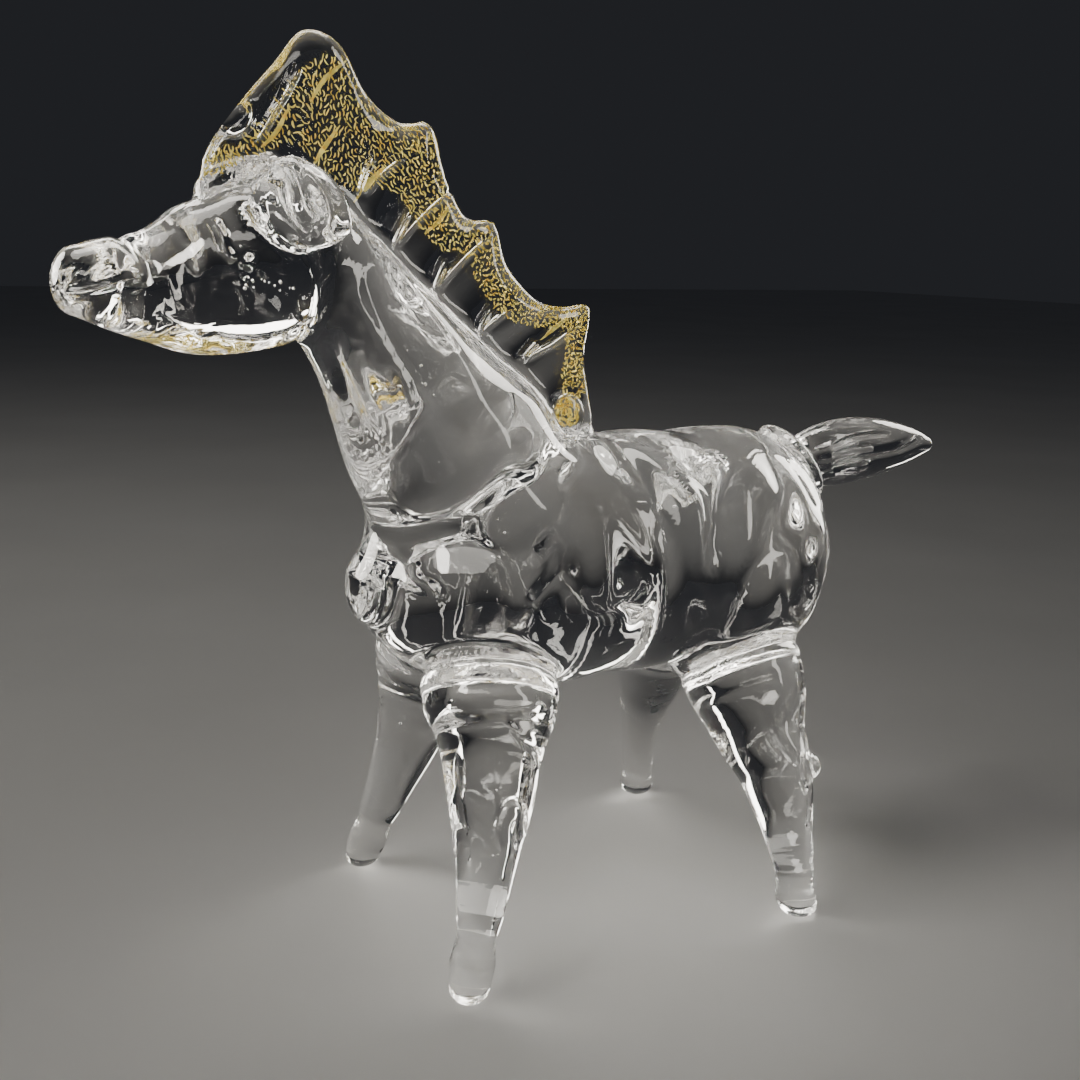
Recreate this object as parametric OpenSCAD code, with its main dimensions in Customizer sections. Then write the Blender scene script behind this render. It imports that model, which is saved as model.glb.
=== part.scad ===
// Clear glass horse with a gold-leaf mane, hot-worked from separate bits of glass.
// Each bit is laid on hot and fused, so it is cut back to the surface it sits on.
// +Z is up and the feet stand at z = 0. The head looks along -X, the left side is -Y.
// The origin lies on the ground under the middle of the figure. Sizes are in mm.

/* [Body] */
// Height of the back above the ground
back_height = 121; // [116:1:126]
// Depth of the body from back to belly
body_depth = 66; // [62:1:70]
// Width of the body across the ribs
body_width = 58; // [54:1:64]

/* [Neck and head] */
// Width of the neck where it leaves the body
neck_width = 42; // [38:1:46]
// Width of the head across the cheeks
head_width = 31; // [28:1:34]
// Thickness of the curled ears
ear_thickness = 5.6; // [5:0.2:7]

/* [Mane] */
// Thickness of the mane along the neck
mane_base_thickness = 7.6; // [6:0.2:9]
// Thickness of the mane just inside its rim
mane_rim_thickness = 5; // [4:0.2:6]
// Thickness of the gold leaf sheet
leaf_thickness = 0.6; // [0.4:0.1:1]
// Clear glass left between the gold and the rim
leaf_margin = 1.4; // [1:0.1:2]

/* [Tail] */
// Width of the tail from side to side
tail_width = 11; // [9:0.5:13]
// Diameter of the pressed disc that joins the tail to the rump
tail_disc_diameter = 27; // [24:1:30]

/* [Legs] */
// Diameter of the feet, as on the front left one
foot_diameter = 9.4; // [8.4:0.2:10.4]
// Thickness of the legs against the drawn shape
leg_girth = 1; // [0.95:0.01:1.05]

/* [Smoothness] */
// Points around each section
section_points = 24; // [20:4:32]

/* [Hidden] */

clear_glass = [0.86, 0.93, 0.96, 0.45];
gold = [0.86, 0.64, 0.16, 1];

// Moves the drawn figure so that its box is centred over the origin
centre_shift = [1.95, -0.9, 0];

// Body sections: place along X, then the top and the belly as shares of the depth
// below the back, then the share of the full width.
body_sections = [
    [-57, 0.27, 0.63, 0.42],
    [-50, 0.16, 0.76, 0.68],
    [-38, 0.07, 0.87, 0.87],
    [-20, 0.01, 0.92, 0.97],
    [2, 0, 0.93, 1],
    [24, 0, 0.96, 1],
    [42, 0, 0.99, 0.98],
    [55, 0.03, 0.96, 0.89],
    [64, 0.1, 0.87, 0.72],
    [70, 0.22, 0.72, 0.46],
];
chest_dome = 5;
rump_dome = 4;

// Neck sections: place along X, height above the back, share of the neck width, half depth.
neck_sections = [
    [-27, -17, 1, 24],
    [-37, -4, 1, 25],
    [-45, 7, 0.86, 21],
    [-54, 19.5, 0.71, 17.2],
    [-62.5, 31, 0.6, 14],
    [-71, 42, 0.54, 12],
    [-76, 49, 0.5, 10],
];

// Head sections: place along X, height above the back, share of the head width, half depth.
head_sections = [
    [-70, 41.5, 0.72, 13],
    [-76, 42, 0.92, 17.2],
    [-85, 40.5, 1, 18.4],
    [-94, 37.6, 0.94, 17],
    [-101, 35.8, 0.82, 14.4],
    [-108, 35.4, 0.68, 11],
    [-115, 36, 0.61, 9.1],
    [-121, 36.3, 0.52, 7],
];
nape_dome = 5;
nose_dome = 4.5;

// Ear sections: place along X, place out from the middle, height above the back,
// share of half the ear's thickness, half depth.
ear_sections = [
    [-81.2, 9.5, 58.6, 0.7, 5],
    [-79.7, 12.5, 55.6, 0.95, 7.1],
    [-77.6, 15.5, 51.1, 1, 7.8],
    [-75.8, 17.5, 47.1, 0.9, 6.5],
];
ear_dome = 3.2;
// Channel sections: the same, with one radius
ear_channel_sections = [
    [-83.4, 16.4, 56.2, 1.6],
    [-81.4, 18.9, 51.9, 2.4],
    [-78.4, 20.9, 46.8, 1.8],
];
ear_channel_dome = 2;

// Mane ribs: root under the neck's crest, then the tip on the scalloped rim.
// Both are [place along X, height above the back].
mane_ribs = [
    [[-93, 50], [-96.2, 56.4]],
    [[-89, 52], [-93.3, 63.6]],
    [[-85, 53], [-87.3, 71.6]],
    [[-81, 54], [-79.3, 80.6]],
    [[-78, 54], [-73, 87.5]],
    [[-75, 52], [-65, 85.5]],
    [[-71, 49], [-59, 76]],
    [[-67, 46], [-51, 70.5]],
    [[-63, 42], [-43.5, 70.5]],
    [[-59, 38], [-40, 60]],
    [[-54, 33], [-34.5, 51]],
    [[-50, 29], [-27, 50]],
    [[-45, 24], [-23.5, 40.5]],
    [[-40, 19], [-15, 32.5]],
    [[-35, 14], [-7.5, 31]],
    [[-29, 8], [0, 31]],
    [[-24, 3], [-1.5, 20]],
    [[-18, -2], [0, 11]],
    [[-10, -5], [2, 1]],
];
// Share of the way from root to rim where the gold starts on each rib but the last
leaf_starts = [0.6, 0.5, 0.42, 0.36, 0.32, 0.3, 0.32, 0.4, 0.5, 0.58, 0.62, 0.66, 0.66, 0.68,
               0.72, 0.76, 0.7, 0.55];

// Share of the way where it ends: short of the rim along the clear fold over the forehead
leaf_ends = [1, 0.97, 0.68, 0.74, 0.78, 0.97, 1, 1, 1, 1, 1, 1, 1, 1, 1, 1, 1, 1];

// Shares of the way from root to rim that get a point, and where the rim starts to round
mane_shares = [0, 0.35, 0.7, 0.8, 0.88, 0.94, 0.98, 1];
rim_start = 0.8;
// How deep the crimps press in, as a share of the thickness, and how far apart they are
crimp_depth = 0.2;
crimp_spacing = 6;

// Tail sections: place along X, height above the back, share of the tail width, half depth.
tail_sections = [
    [62, -15, 0.6, 5],
    [70, -12, 0.8, 6.6],
    [77, -10.3, 0.92, 8],
    [86, -9.5, 1, 8.9],
    [97, -9, 0.92, 8.2],
    [107, -9, 0.7, 6.3],
    [115, -9, 0.46, 3.9],
    [120, -9.2, 0.28, 1.8],
];
tail_dome = 1.6;
// The disc: place along X and height above the back, tilt of its face, thickness
// and width as a share of its height
tail_disc_place = [67, -12];
tail_disc_tilt = 36;
tail_disc_thickness = 8;
disc_squash = 0.8;

// Leg sections: place along X, place out from the middle, height, half depth,
// and half width as a share of it: the thighs are flattened, the shins are round.
// Heights are for a belly at the drawn height and stretch with it.
drawn_belly = 55;
drawn_foot = 9.4;
ankle_height = 10;
front_left_sections = [
    [-33.5, 10, 76, 11, 0.8],
    [-35, 15.5, 68, 16.8, 0.72],
    [-36.3, 19.5, 60, 16.4, 0.74],
    [-38.2, 23, 53, 12.8, 0.84],
    [-41.4, 28.5, 42, 9.9, 0.95],
    [-44.7, 32.5, 29, 6.9, 1],
    [-48.2, 35.5, 15.4, 5, 1],
    [-50.4, 36.6, 5.7, 4.8, 1],
    [-51, 37.2, -2, 4, 1],
];
front_right_sections = [
    [-33, 10, 76, 11, 0.8],
    [-33.8, 15, 67, 15.4, 0.74],
    [-33.6, 20.5, 56, 12.4, 0.8],
    [-35.5, 26.5, 38.3, 8.6, 0.95],
    [-39.5, 32, 21, 5.8, 1],
    [-43, 35.5, 8, 4.7, 1],
    [-44, 37, 2, 4.4, 1],
    [-44.2, 37.4, -2, 4, 1],
];
hind_left_sections = [
    [39, 9, 74, 13, 0.8],
    [40.4, 14, 63, 17.6, 0.72],
    [42, 19, 52, 16.2, 0.76],
    [42, 24, 43, 12.6, 0.85],
    [42.2, 29, 36.9, 10.3, 0.94],
    [42.2, 33, 29.6, 8.4, 1],
    [42, 36.3, 22, 6.6, 1],
    [42, 39.6, 11.8, 5.2, 1],
    [42.4, 41, 4.9, 4.9, 1],
    [42.8, 42, -2, 4.2, 1],
];
hind_right_sections = [
    [38, 9, 75, 13, 0.8],
    [38.5, 14, 64, 17, 0.72],
    [40.5, 20.5, 52.5, 13, 0.8],
    [45, 31, 34, 7.5, 0.95],
    [48.5, 38, 19, 5.3, 1],
    [50.5, 41, 9, 4.8, 1],
    [51.8, 42.8, 3, 5, 1],
    [52.2, 43.4, -2, 4.4, 1],
];
// Hocks: a knob pinched out of the back of each hind leg, at [X, out, height]
hock_knob_radius = 3.6;
hock_left_place = [50, 33.5, 36];
hock_right_place = [51, 33, 33];

// Steps between two drawn sections, and between two drawn mane ribs
section_steps = 3;
rib_steps = 3;
dome_angles = [24, 44, 61, 75, 86];
lens_angles = [-82, -62, -38, -13, 13, 38, 62, 82];
big = 400;

function unit(v) = v / norm(v);
function pick(rows, i) = rows[max(0, min(len(rows) - 1, i))];

// A smooth curve from b to c, with a and d as the rows on either side
function blend(a, b, c, d, t) =
    (2 * b + (c - a) * t + (2 * a - 5 * b + 4 * c - d) * t * t
     + (3 * b - a - 3 * c + d) * t * t * t) / 2;

function smooth(rows, steps) = [
    for (i = [0:len(rows) - 2])
        for (s = [0:steps - 1])
            blend(pick(rows, i - 1), rows[i], rows[i + 1], pick(rows, i + 2), s / steps),
    rows[len(rows) - 1]
];

// Rows hold [x, y, z, half width, half depth]. A dome rounds off the end row.
function dome(end, before, length) =
    let (
        step = [end[0] - before[0], end[1] - before[1], end[2] - before[2]],
        out = unit(step) * length
    )
    [for (a = dome_angles)
        [end[0] + out[0] * sin(a), end[1] + out[1] * sin(a), end[2] + out[2] * sin(a),
         end[3] * cos(a), end[4] * cos(a)]];

function reversed(rows) = [for (i = [len(rows) - 1:-1:0]) rows[i]];

// Rounds both ends of a list of rows; a length of 0 leaves that end flat
function domed(rows, first_length, last_length) =
    let (n = len(rows))
    concat(
        first_length > 0 ? reversed(dome(rows[0], rows[1], first_length)) : [],
        rows,
        last_length > 0 ? dome(rows[n - 1], rows[n - 2], last_length) : []
    );

// The place of a row and the direction of the spine through it
function place(row) = [row[0], row[1], row[2]];
function heading(rows, i) = unit(place(pick(rows, i + 1)) - place(pick(rows, i - 1)));

// An oval section square to the spine, with its width turned towards Y
function oval(centre, along, half_width, half_depth) =
    let (
        deep = unit(cross(along, [0, 1, 0])),
        wide = cross(deep, along)
    )
    [for (i = [0:section_points - 1])
        let (a = 360 * (i + 0.5) / section_points)
        centre + wide * half_width * cos(a) + deep * half_depth * sin(a)];

// Joins closed rings of points into one solid with flat ends
module skin(rings) {
    n = len(rings[0]);
    last = len(rings) - 1;
    polyhedron(
        points = [for (ring = rings) each ring],
        faces = concat(
            [[for (i = [0:n - 1]) i]],
            [for (r = [0:last - 1]) for (i = [0:n - 1])
                [r * n + i, (r + 1) * n + i, r * n + (i + 1) % n]],
            [for (r = [0:last - 1]) for (i = [0:n - 1])
                [r * n + (i + 1) % n, (r + 1) * n + i, (r + 1) * n + (i + 1) % n]],
            [[for (i = [n - 1:-1:0]) last * n + i]]
        ),
        convexity = 6
    );
}

module loft(rows) {
    skin([for (i = [0:len(rows) - 1])
        oval(place(rows[i]), heading(rows, i), rows[i][3], rows[i][4])]);
}

// A fused bit: the first child cut back by the pieces it is laid on.
// The empty resize keeps the curved skins as one fine mesh.
module fused() {
    resize([0, 0, 0])
        difference() {
            children(0);
            children([1:$children - 1]);
        }
}

function body_rows() = [
    for (s = body_sections)
        [s[0], 0, back_height - body_depth * (s[1] + s[2]) / 2,
         body_width * s[3] / 2, body_depth * (s[2] - s[1]) / 2]
];

function crest_rows(sections, width) = [
    for (s = sections) [s[0], 0, back_height + s[1], width * s[2] / 2, s[3]]
];

module torso_shape() {
    loft(domed(smooth(body_rows(), section_steps), chest_dome, rump_dome));
}

module neck_shape() {
    loft(smooth(crest_rows(neck_sections, neck_width), section_steps));
}

module head_shape() {
    rows = smooth(crest_rows(head_sections, head_width), section_steps);
    loft(domed(rows, nape_dome, nose_dome));
}

module ear_shape(side) {
    rows = [for (s = ear_sections)
        [s[0], side * s[1], back_height + s[2], ear_thickness / 2 * s[3], s[4]]];
    difference() {
        loft(domed(smooth(rows, section_steps), ear_dome, ear_dome));
        ear_channel(side);
    }
}

// The hollow of the curl, pressed into the outer face of the ear
module ear_channel(side) {
    rows = [for (s = ear_channel_sections)
        [s[0], side * s[1], back_height + s[2], s[3], s[3]]];
    loft(domed(smooth(rows, section_steps), ear_channel_dome, ear_channel_dome));
}

// One side of the mane as a ring of points around each rib: the flat inner face lies
// on the middle plane and the outer face swells out to the side given.
function mane_ring(r, side, swell) =
    [[r[0], 0, back_height + r[1]],
     for (k = mane_shares)
        let (thick = mane_base_thickness * (1 - k) + mane_rim_thickness * k)
        [r[0] + (r[2] - r[0]) * k,
         side * thick / 2 * swell * rim_round(k),
         back_height + r[1] + (r[3] - r[1]) * k]];

// Full thickness over most of a rib, then a round fall to the rim
function rim_round(k) = k < rim_start ? 1 : sqrt(1 - pow((k - rim_start) / (1 - rim_start), 2));

// The crimping tool leaves a hollow on every other row of points
function crimp(i) = 1 - crimp_depth * (1 - cos(360 * i / crimp_spacing)) / 2;

module mane_half(side) {
    rows = smooth([for (r = mane_ribs) [r[0][0], r[0][1], r[1][0], r[1][1]]], rib_steps);
    rings = [for (i = [0:len(rows) - 1]) mane_ring(rows[i], side, crimp(i))];
    skin(side > 0 ? rings : reversed(rings));
}

// The gold sheet: a flat outline on the middle plane, set in from the rim
module leaf_shape() {
    rows = smooth([for (i = [0:len(leaf_starts) - 1])
        let (
            root = mane_ribs[i][0],
            tip = mane_ribs[i][1],
            start = root + (tip - root) * leaf_starts[i],
            end = root + (tip - root) * leaf_ends[i] - unit(tip - root) * leaf_margin
        )
        [start[0], start[1], end[0], end[1]]], rib_steps);
    outline = concat(
        [for (r = rows) [r[0], r[1]]],
        [for (i = [len(rows) - 1:-1:0]) [rows[i][2], rows[i][3]]]
    );
    translate([0, 0, back_height])
        rotate([90, 0, 0])
            linear_extrude(leaf_thickness, center = true) polygon(outline);
}

module tail_shape() {
    loft(domed(smooth(crest_rows(tail_sections, tail_width), section_steps), 0, tail_dome));
    disc = tail_disc_diameter / 2;
    middle = [tail_disc_place[0], 0, back_height + tail_disc_place[1]];
    out = [cos(tail_disc_tilt), 0, sin(tail_disc_tilt)] * tail_disc_thickness / 2;
    loft([for (a = lens_angles)
        let (spot = middle + out * sin(a))
        [spot[0], spot[1], spot[2], disc * disc_squash * cos(a), disc * cos(a)]]);
}

module hock_knob(spot, side) {
    rows = [for (a = lens_angles)
        [spot[0], side * spot[1], spot[2] + hock_knob_radius * sin(a),
         hock_knob_radius * cos(a), hock_knob_radius * cos(a)]];
    loft(rows);
}

// A leg runs from inside the body down to a sole cut flat at the ground
module leg_shape(sections, side) {
    belly = back_height - body_depth;
    rows = [for (s = sections)
        let (girth = s[2] < ankle_height ? foot_diameter / drawn_foot : leg_girth)
        [s[0], side * s[1], s[2] > 0 ? s[2] * belly / drawn_belly : s[2],
         s[3] * s[4] * girth, s[3] * girth]];
    intersection() {
        union() {
            loft(smooth(rows, section_steps));
            children();
        }
        translate([-big / 2, -big / 2, 0]) cube(big);
    }
}

// Draws the figure in its final place
module placed() {
    translate(centre_shift) children();
}

module torso() {
    color(clear_glass) placed() torso_shape();
}

module neck() {
    color(clear_glass) placed() fused() {
        neck_shape();
        torso_shape();
        head_shape();
    }
}

module head() {
    color(clear_glass) placed() head_shape();
}

module ear(side) {
    color(clear_glass) placed() fused() {
        ear_shape(side);
        head_shape();
        mane_half(side);
    }
}

module ear_left() {
    ear(-1);
}

module ear_right() {
    ear(1);
}

module mane_casing(side) {
    color(clear_glass) placed() fused() {
        mane_half(side);
        torso_shape();
        neck_shape();
        head_shape();
        leaf_shape();
    }
}

module mane_left_casing() {
    mane_casing(-1);
}

module mane_right_casing() {
    mane_casing(1);
}

module gold_leaf() {
    color(gold) placed() fused() {
        leaf_shape();
        neck_shape();
        head_shape();
    }
}

module tail() {
    color(clear_glass) placed() fused() {
        tail_shape();
        torso_shape();
    }
}

module leg(sections, side) {
    color(clear_glass) placed() fused() {
        leg_shape(sections, side) children();
        torso_shape();
    }
}

module leg_front_left() {
    leg(front_left_sections, -1);
}

module leg_front_right() {
    leg(front_right_sections, 1);
}

module leg_hind_left() {
    leg(hind_left_sections, -1) hock_knob(hock_left_place, -1);
}

module leg_hind_right() {
    leg(hind_right_sections, 1) hock_knob(hock_right_place, 1);
}

torso();
neck();
head();
ear_left();
ear_right();
mane_left_casing();
mane_right_casing();
gold_leaf();
tail();
leg_front_left();
leg_front_right();
leg_hind_left();
leg_hind_right();
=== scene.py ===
import bmesh
import bpy
import numpy as np
from mathutils import Matrix, Vector
from mathutils.bvhtree import BVHTree
from mathutils.geometry import tessellate_polygon


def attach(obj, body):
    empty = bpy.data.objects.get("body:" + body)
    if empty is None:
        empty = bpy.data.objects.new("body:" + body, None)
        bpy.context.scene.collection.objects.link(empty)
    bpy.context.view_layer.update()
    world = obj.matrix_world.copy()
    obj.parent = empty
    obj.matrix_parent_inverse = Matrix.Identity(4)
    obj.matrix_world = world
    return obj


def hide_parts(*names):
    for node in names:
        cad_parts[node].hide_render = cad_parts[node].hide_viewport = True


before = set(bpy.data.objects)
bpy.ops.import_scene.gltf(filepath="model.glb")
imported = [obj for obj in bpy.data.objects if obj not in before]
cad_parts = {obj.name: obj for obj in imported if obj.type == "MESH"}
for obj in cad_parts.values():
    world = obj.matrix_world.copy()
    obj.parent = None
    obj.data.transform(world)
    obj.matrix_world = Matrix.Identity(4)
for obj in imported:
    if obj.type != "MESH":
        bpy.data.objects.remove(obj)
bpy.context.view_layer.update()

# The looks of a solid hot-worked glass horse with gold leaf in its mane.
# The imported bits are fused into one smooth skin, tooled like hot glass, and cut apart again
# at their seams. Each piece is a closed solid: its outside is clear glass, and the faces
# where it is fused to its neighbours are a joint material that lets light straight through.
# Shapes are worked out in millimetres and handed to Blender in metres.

MM = 0.001
RNG = np.random.default_rng(11)

GLASS_NODES = ["torso", "neck", "head", "ear_left", "ear_right", "mane_left_casing",
               "mane_right_casing", "tail", "leg_front_left", "leg_front_right",
               "leg_hind_left", "leg_hind_right"]
LEGS = [n for n in GLASS_NODES if n.startswith("leg_")]
GLASS, JOINT = 0, 1   # material slots of a glass piece
GLASS_IOR = 1.52
LAMP_COLOUR = (1.0, 0.96, 0.88)
ROOM_COLOUR = (0.018, 0.019, 0.022, 1)


def in_scene(name, data):
    holder = bpy.data.objects.new(name, data)
    bpy.context.scene.collection.objects.link(holder)
    return holder


# ---------------------------------------------------------------- camera

# Where the picture is taken from: metres from the origin, and the way the camera faces
CAMERA_PLACE = (-0.1815, -0.2778, 0.167)
CAMERA_TURN = 31.7    # degrees from +Y towards +X
CAMERA_PITCH = 12.45  # degrees below level
CAMERA_ROLL = 1.49    # degrees
CAMERA_LENS = 45.0    # mm on a 36 mm sensor


def add_camera():
    turn, pitch, roll = np.radians([CAMERA_TURN, CAMERA_PITCH, CAMERA_ROLL])
    ahead = np.array([np.sin(turn) * np.cos(pitch), np.cos(turn) * np.cos(pitch), -np.sin(pitch)])
    right = np.array([np.cos(turn), -np.sin(turn), 0.0])
    above = np.cross(right, ahead)
    x = right * np.cos(roll) + above * np.sin(roll)
    y = above * np.cos(roll) - right * np.sin(roll)
    data = bpy.data.cameras.new("camera")
    data.lens = CAMERA_LENS
    data.sensor_width = 36.0
    data.clip_start = 0.01
    camera = in_scene("camera", data)
    camera.matrix_world = Matrix((
        (x[0], y[0], -ahead[0], CAMERA_PLACE[0]),
        (x[1], y[1], -ahead[1], CAMERA_PLACE[1]),
        (x[2], y[2], -ahead[2], CAMERA_PLACE[2]),
        (0, 0, 0, 1)))
    bpy.context.scene.camera = camera


# ---------------------------------------------------------------- mesh arrays

def normalised(a):
    return a / np.maximum(np.linalg.norm(a, axis=-1, keepdims=True), 1e-12)


def read_mesh(mesh, matrix=None):
    """A Blender mesh as points and triangles."""
    points = np.empty(len(mesh.vertices) * 3)
    mesh.vertices.foreach_get("co", points)
    points = points.reshape(-1, 3)
    if matrix is not None:
        m = np.array(matrix)
        points = points @ m[:3, :3].T + m[:3, 3]
    mesh.calc_loop_triangles()
    tris = np.empty(len(mesh.loop_triangles) * 3, dtype=np.int32)
    mesh.loop_triangles.foreach_get("vertices", tris)
    return points, tris.reshape(-1, 3).astype(np.int64)


def write_mesh(name, points, tris):
    mesh = bpy.data.meshes.new(name)
    mesh.vertices.add(len(points))
    mesh.vertices.foreach_set("co", np.ascontiguousarray(points, dtype=np.float32).ravel())
    mesh.loops.add(len(tris) * 3)
    mesh.loops.foreach_set("vertex_index", tris.astype(np.int32).ravel())
    mesh.polygons.add(len(tris))
    mesh.polygons.foreach_set("loop_start", np.arange(0, len(tris) * 3, 3, dtype=np.int32))
    mesh.update(calc_edges=True)
    return mesh


def welded(points, tris, step=2e-3):
    """Joins the corners that share a place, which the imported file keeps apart."""
    key = np.round(points / step).astype(np.int64)
    _, first, back = np.unique(key, axis=0, return_index=True, return_inverse=True)
    tris = back.reshape(-1)[tris]
    keep = (tris[:, 0] != tris[:, 1]) & (tris[:, 1] != tris[:, 2]) & (tris[:, 2] != tris[:, 0])
    return points[first], tris[keep]


def face_normals(points, tris):
    a, b, c = points[tris[:, 0]], points[tris[:, 1]], points[tris[:, 2]]
    return np.cross(b - a, c - a)


def vertex_normals(points, tris):
    normals = face_normals(points, tris)
    out = np.stack([
        sum(np.bincount(tris[:, k], normals[:, axis], len(points)) for k in range(3))
        for axis in range(3)], 1)
    return normalised(out)


def corner_normals(points, tris, crease):
    """Smooth normals at each triangle's corners, kept apart across creases."""
    raw = face_normals(points, tris)
    unit = normalised(raw)
    at = tris.ravel()
    face = np.repeat(np.arange(len(tris)), 3)
    order = np.argsort(at, kind="stable")
    at, face = at[order], face[order]
    count = np.bincount(at, minlength=len(points))
    start = np.cumsum(count) - count
    many = count[at]
    one = np.repeat(np.arange(len(at)), many)
    step = np.arange(many.sum()) - np.repeat(np.cumsum(many) - many, many)
    other = np.repeat(start[at], many) + step
    near = (unit[face[one]] * unit[face[other]]).sum(1) > np.cos(crease)
    one, other = one[near], other[near]
    total = np.stack([np.bincount(one, raw[face[other], k], len(at)) for k in range(3)], 1)
    out = np.empty_like(total)
    out[order] = normalised(total)
    return out.reshape(-1, 3, 3)


def rounded(points, tris, cuts=3, crease=np.radians(38)):
    """Splits each facet and bends it towards the smooth surface its normals describe."""
    normals = corner_normals(points, tris, crease)
    corners = points[tris]
    shares = [(i / cuts, j / cuts, (cuts - i - j) / cuts)
              for i in range(cuts + 1) for j in range(cuts + 1 - i)]
    number = {(i, j): k for k, (i, j) in enumerate(
        (i, j) for i in range(cuts + 1) for j in range(cuts + 1 - i))}
    small = []
    for i in range(cuts):
        for j in range(cuts - i):
            small.append((number[i, j], number[i + 1, j], number[i, j + 1]))
            if i + j < cuts - 1:
                small.append((number[i + 1, j], number[i + 1, j + 1], number[i, j + 1]))
    rows = []
    for share in shares:
        flat = sum(s * corners[:, k] for k, s in enumerate(share))
        bent = 0
        for k, s in enumerate(share):
            above = ((flat - corners[:, k]) * normals[:, k]).sum(1, keepdims=True)
            bent = bent + s * (flat - above * normals[:, k])
        rows.append((flat + bent) / 2)
    grid = np.stack(rows, 1)
    base = np.arange(len(tris))[:, None, None] * len(shares)
    return welded(grid.reshape(-1, 3), (base + np.array(small)[None]).reshape(-1, 3))


def unique_pairs(pairs):
    """Each pair of points once, lowest first, and which one each row is."""
    low, high = pairs.min(1), pairs.max(1)
    keys, back = np.unique(low * (high.max() + 1) + high, return_inverse=True)
    return np.stack(np.divmod(keys, high.max() + 1), 1), back.reshape(-1)


def mesh_edges(tris):
    return unique_pairs(np.concatenate([tris[:, [0, 1]], tris[:, [1, 2]], tris[:, [2, 0]]]))[0]


def groups(count, edges):
    """A number for each connected group of points."""
    label = np.arange(count)
    a, b = edges.T
    while True:
        low = np.minimum(label[a], label[b])
        high = np.maximum(label[a], label[b])
        apart = low != high
        if not apart.any():
            return label
        a, b = a[apart], b[apart]
        np.minimum.at(label, high[apart], low[apart])
        while not np.array_equal(label, label[label]):
            label = label[label]


def relaxed(points, edges, weight, rounds, push=0.5, pull=-0.52):
    """Smooths the weighted points; with a pull, ripples go and the shape doesn't shrink."""
    edges = edges[(weight[edges] > 1e-3).any(1)]
    used, back = np.unique(edges, return_inverse=True)
    back = back.reshape(edges.shape)
    centre = np.concatenate([back[:, 0], back[:, 1]])
    other = np.concatenate([back[:, 1], back[:, 0]])
    order = np.argsort(centre, kind="stable")
    other = other[order]
    degree = np.bincount(centre, minlength=len(used))
    starts = np.cumsum(degree) - degree
    degree = degree[:, None]
    moved = points[used]
    share = weight[used][:, None]

    def offset(p):
        return np.add.reduceat(p[other], starts, axis=0) / degree - p

    for _ in range(rounds):
        moved = moved + push * share * offset(moved)
        if pull:
            moved = moved + pull * share * offset(moved)
    points = points.copy()
    points[used] = moved
    return points


def refined(points, tris, need):
    """Splits the triangles where detail is needed, with no gaps to the coarse ones around."""
    pairs, back = unique_pairs(np.concatenate([tris[:, [0, 1]], tris[:, [1, 2]], tris[:, [2, 0]]]))
    split = need[pairs].all(1)
    number = np.where(split, len(points) + np.cumsum(split) - 1, -1)
    middle = number[back.reshape(3, -1).T]
    count = (middle >= 0).sum(1)
    out = [tris[count == 0]]
    one = count == 1
    turn = (middle[one] >= 0).argmax(1)[:, None]
    a, b, c = np.take_along_axis(tris[one], (turn + np.arange(3)) % 3, 1).T
    m = np.take_along_axis(middle[one], turn, 1)[:, 0]
    out += [np.stack([a, m, c], 1), np.stack([m, b, c], 1)]
    two = count == 2
    turn = (((middle[two] < 0).argmax(1) + 1) % 3)[:, None]
    a, b, c = np.take_along_axis(tris[two], (turn + np.arange(3)) % 3, 1).T
    m, n = np.take_along_axis(middle[two], (turn + np.arange(2)) % 3, 1).T
    out += [np.stack([a, m, n], 1), np.stack([m, b, n], 1), np.stack([a, n, c], 1)]
    three = count == 3
    a, b, c = tris[three].T
    m, n, o = middle[three].T
    out += [np.stack([a, m, o], 1), np.stack([m, b, n], 1), np.stack([o, n, c], 1),
            np.stack([m, n, o], 1)]
    pairs = pairs[split]
    middles = (points[pairs[:, 0]] + points[pairs[:, 1]]) / 2
    return np.concatenate([points, middles]), np.concatenate(out), pairs


def spread(values, edges, rounds):
    """Blurs a value over the skin."""
    a, b = edges[:, 0], edges[:, 1]
    degree = np.bincount(edges.ravel(), minlength=len(values))
    for _ in range(rounds):
        total = np.bincount(a, values[b], len(values)) + np.bincount(b, values[a], len(values))
        values = (values + total / degree) / 2
    return values


# ---------------------------------------------------------------- packed bits

def packed_bit(node):
    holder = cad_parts[node]
    points, tris = read_mesh(holder.data, holder.matrix_world)
    return welded(points / MM, tris)


CAD = {node: packed_bit(node) for node in GLASS_NODES + ["gold_leaf"]}
LOW = {node: points.min(0) for node, (points, _) in CAD.items()}
HIGH = {node: points.max(0) for node, (points, _) in CAD.items()}
TREE = {node: BVHTree.FromPolygons(p.tolist(), t.tolist()) for node, (p, t) in CAD.items()}
# The plane that the mane, the leaf and the spine lie in
MIDDLE = (LOW["gold_leaf"][1] + HIGH["gold_leaf"][1]) / 2


def spot(node, x, y, z):
    """A place in millimetres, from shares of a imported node's box."""
    return LOW[node] + (HIGH[node] - LOW[node]) * np.array([x, y, z])


def clearance(node, points, reach=14.0):
    """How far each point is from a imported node's surface, up to a reach."""
    out = np.full(len(points), reach)
    near = ((points > LOW[node] - reach) & (points < HIGH[node] + reach)).all(1)
    nearest = TREE[node].find_nearest
    out[near] = np.minimum([nearest(p)[3] for p in points[near].tolist()], reach)
    return out


# ---------------------------------------------------------------- one fused skin

VOXEL = 0.6
OVERLAP = 0.15   # how far each bit sinks into its neighbour before they are fused


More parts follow.
